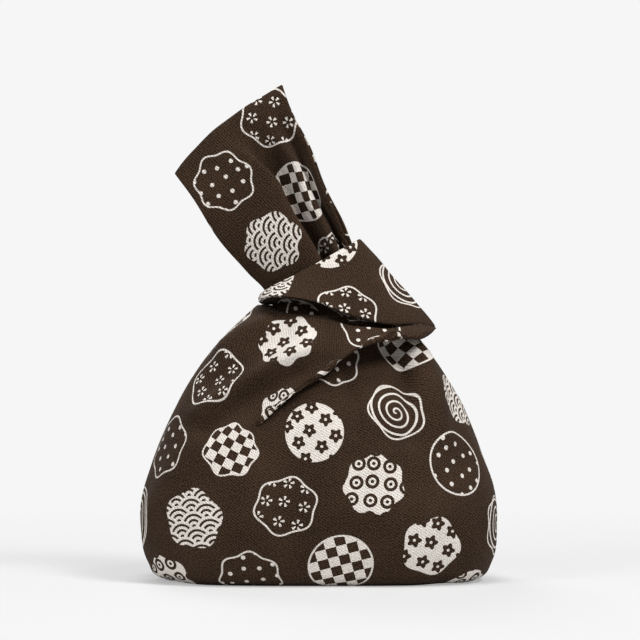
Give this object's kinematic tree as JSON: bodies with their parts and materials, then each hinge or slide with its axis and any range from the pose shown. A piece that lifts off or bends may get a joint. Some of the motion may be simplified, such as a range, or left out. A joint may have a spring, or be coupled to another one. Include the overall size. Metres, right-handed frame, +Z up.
{
  "type": "knot bag",
  "caption": "Stuffed cloth pouch on a flat base, gathered at the top, where a long hand loop is drawn through a short loop to close it.",
  "frame": {"origin": "middle of the flat base", "axes": "+Z up, -Y towards the front that the picture shows, +X to the right as seen from the front"},
  "size_m": [0.205, 0.118, 0.2845],
  "materials": {
    "pouch_cloth": "printed cotton and linen, matt",
    "short_loop_cloth": "printed cotton and linen, matt",
    "hand_loop_cloth": "printed cotton and linen, matt"
  },
  "bodies": {
    "root": {"pouch": "pouch_cloth", "short_loop_collar": "short_loop_cloth", "long_hand_loop": "hand_loop_cloth"}
  },
  "joints": []
}
